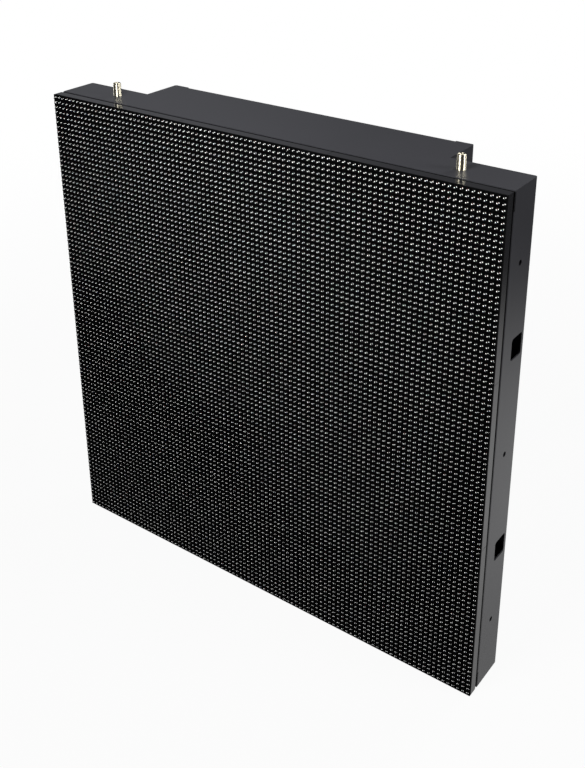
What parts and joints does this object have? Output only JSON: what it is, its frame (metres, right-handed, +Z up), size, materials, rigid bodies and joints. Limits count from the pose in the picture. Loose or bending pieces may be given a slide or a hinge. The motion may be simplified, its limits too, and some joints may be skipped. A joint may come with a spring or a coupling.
{
  "type": "led display panel",
  "caption": "Square LED display cabinet: louvred LED modules on a folded steel frame with a narrower rear box, locating pins on top and slotted sides.",
  "frame": {"origin": "bottom centre of the box of the whole panel, on the surface that it stands on", "axes": "+Z up along the locating pins, +Y from the LED face to the rear, +X to the right of someone who looks at the LED face"},
  "size_m": [0.576, 0.114, 0.591],
  "materials": {
    "nickel": "nickel plate",
    "case_paint": "satin black powder coat",
    "board_laminate": "solder-masked laminate",
    "dark_steel": "black oxide",
    "socket_plastic": "glass-filled plastic",
    "mask_plastic": "matt black moulded plastic",
    "base_plastic": "satin black moulded plastic",
    "zinc_steel": "zinc plate"
  },
  "bodies": {
    "root": {"board_standoffs": "nickel", "bottom_panel": "case_paint", "box_wall_left": "case_paint", "box_wall_right": "case_paint", "circuit_board_row1_column1": "board_laminate", "circuit_board_row1_column2": "board_laminate", "circuit_board_row1_column3": "board_laminate", "circuit_board_row2_column1": "board_laminate", "circuit_board_row2_column2": "board_laminate", "circuit_board_row2_column3": "board_laminate", "circuit_board_row3_column1": "board_laminate", "circuit_board_row3_column2": "board_laminate", "circuit_board_row3_column3": "board_laminate", "cover_screws": "dark_steel", "data_input": "socket_plastic", "data_output": "socket_plastic", "handle_left": "case_paint", "handle_right": "case_paint", "handle_screws": "dark_steel", "hub_board": "board_laminate", "locating_pin_left": "nickel", "locating_pin_right": "nickel", "mask_row1_column1": "mask_plastic", "mask_row1_column2": "mask_plastic", "mask_row1_column3": "mask_plastic", "mask_row2_column1": "mask_plastic", "mask_row2_column2": "mask_plastic", "mask_row2_column3": "mask_plastic", "mask_row3_column1": "mask_plastic", "mask_row3_column2": "mask_plastic", "mask_row3_column3": "mask_plastic", "module_base_row1_column1": "base_plastic", "module_base_row1_column2": "base_plastic", "module_base_row1_column3": "base_plastic", "module_base_row2_column1": "base_plastic", "module_base_row2_column2": "base_plastic", "module_base_row2_column3": "base_plastic", "module_base_row3_column1": "base_plastic", "module_base_row3_column2": "base_plastic", "module_base_row3_column3": "base_plastic", "module_magnets": "nickel", "mounting_plate": "zinc_steel", "pin_nuts": "zinc_steel", "pin_socket_left": "zinc_steel", "pin_socket_right": "zinc_steel", "power_input": "socket_plastic", "power_output": "socket_plastic", "power_supply": "zinc_steel", "rail_1": "case_paint", "rail_2": "case_paint", "rear_cover": "case_paint", "receiving_card": "board_laminate", "side_panel_left": "case_paint", "side_panel_right": "case_paint", "terminal_block": "base_plastic", "top_panel": "case_paint"}
  },
  "joints": []
}
